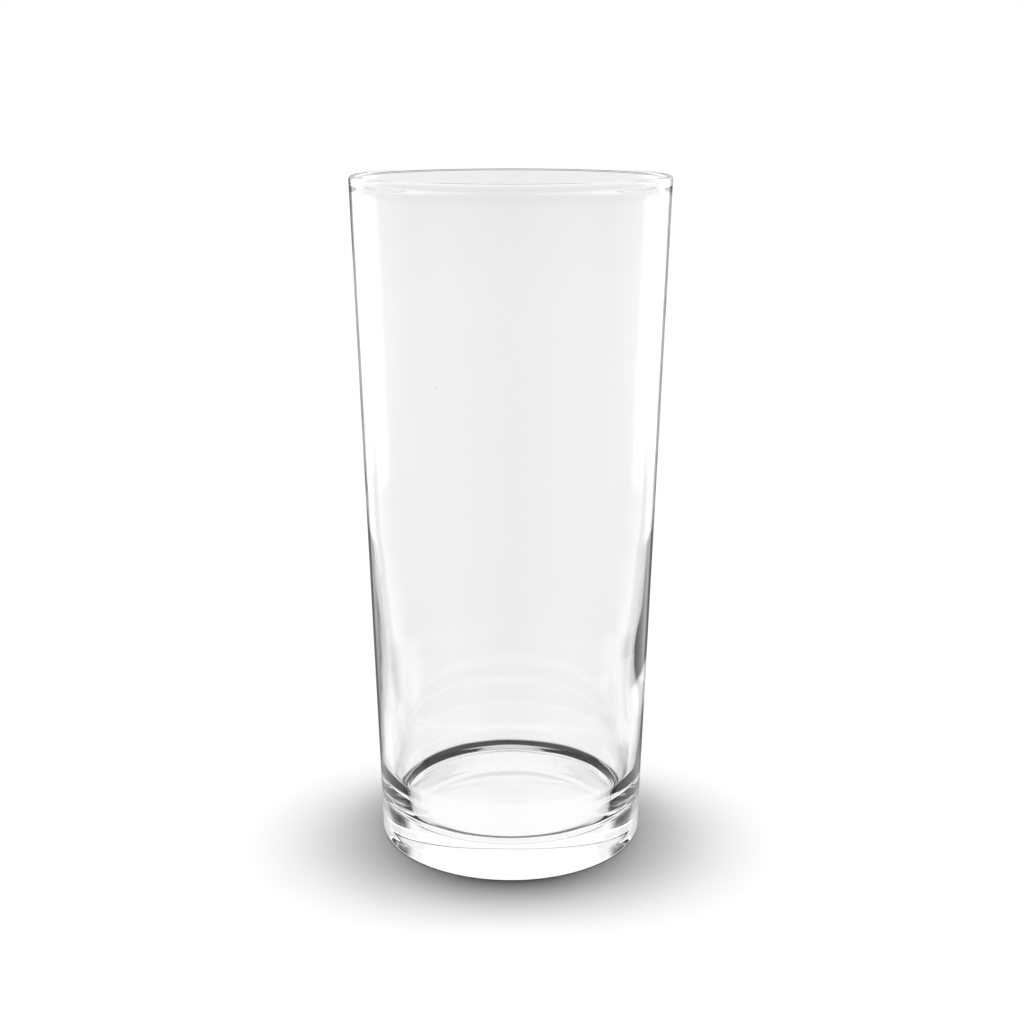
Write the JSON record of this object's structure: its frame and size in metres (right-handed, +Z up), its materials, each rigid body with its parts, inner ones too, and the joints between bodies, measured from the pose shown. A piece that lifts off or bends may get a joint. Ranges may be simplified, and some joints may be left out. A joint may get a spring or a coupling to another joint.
{
  "type": "pint glass",
  "caption": "Tall, slightly conical clear drinking glass with a fire-polished rim, a thin upper wall and a thick pushed-up base.",
  "frame": {"origin": "centre of the resting plane under the foot ring", "axes": "+Z up along the axis of revolution, from the base to the rim; X and Y are equivalent"},
  "size_m": [0.0756, 0.0756, 0.1648],
  "materials": {
    "clear_glass": "clear, fire-polished"
  },
  "bodies": {
    "root": {"glass_body": "clear_glass"}
  },
  "joints": []
}
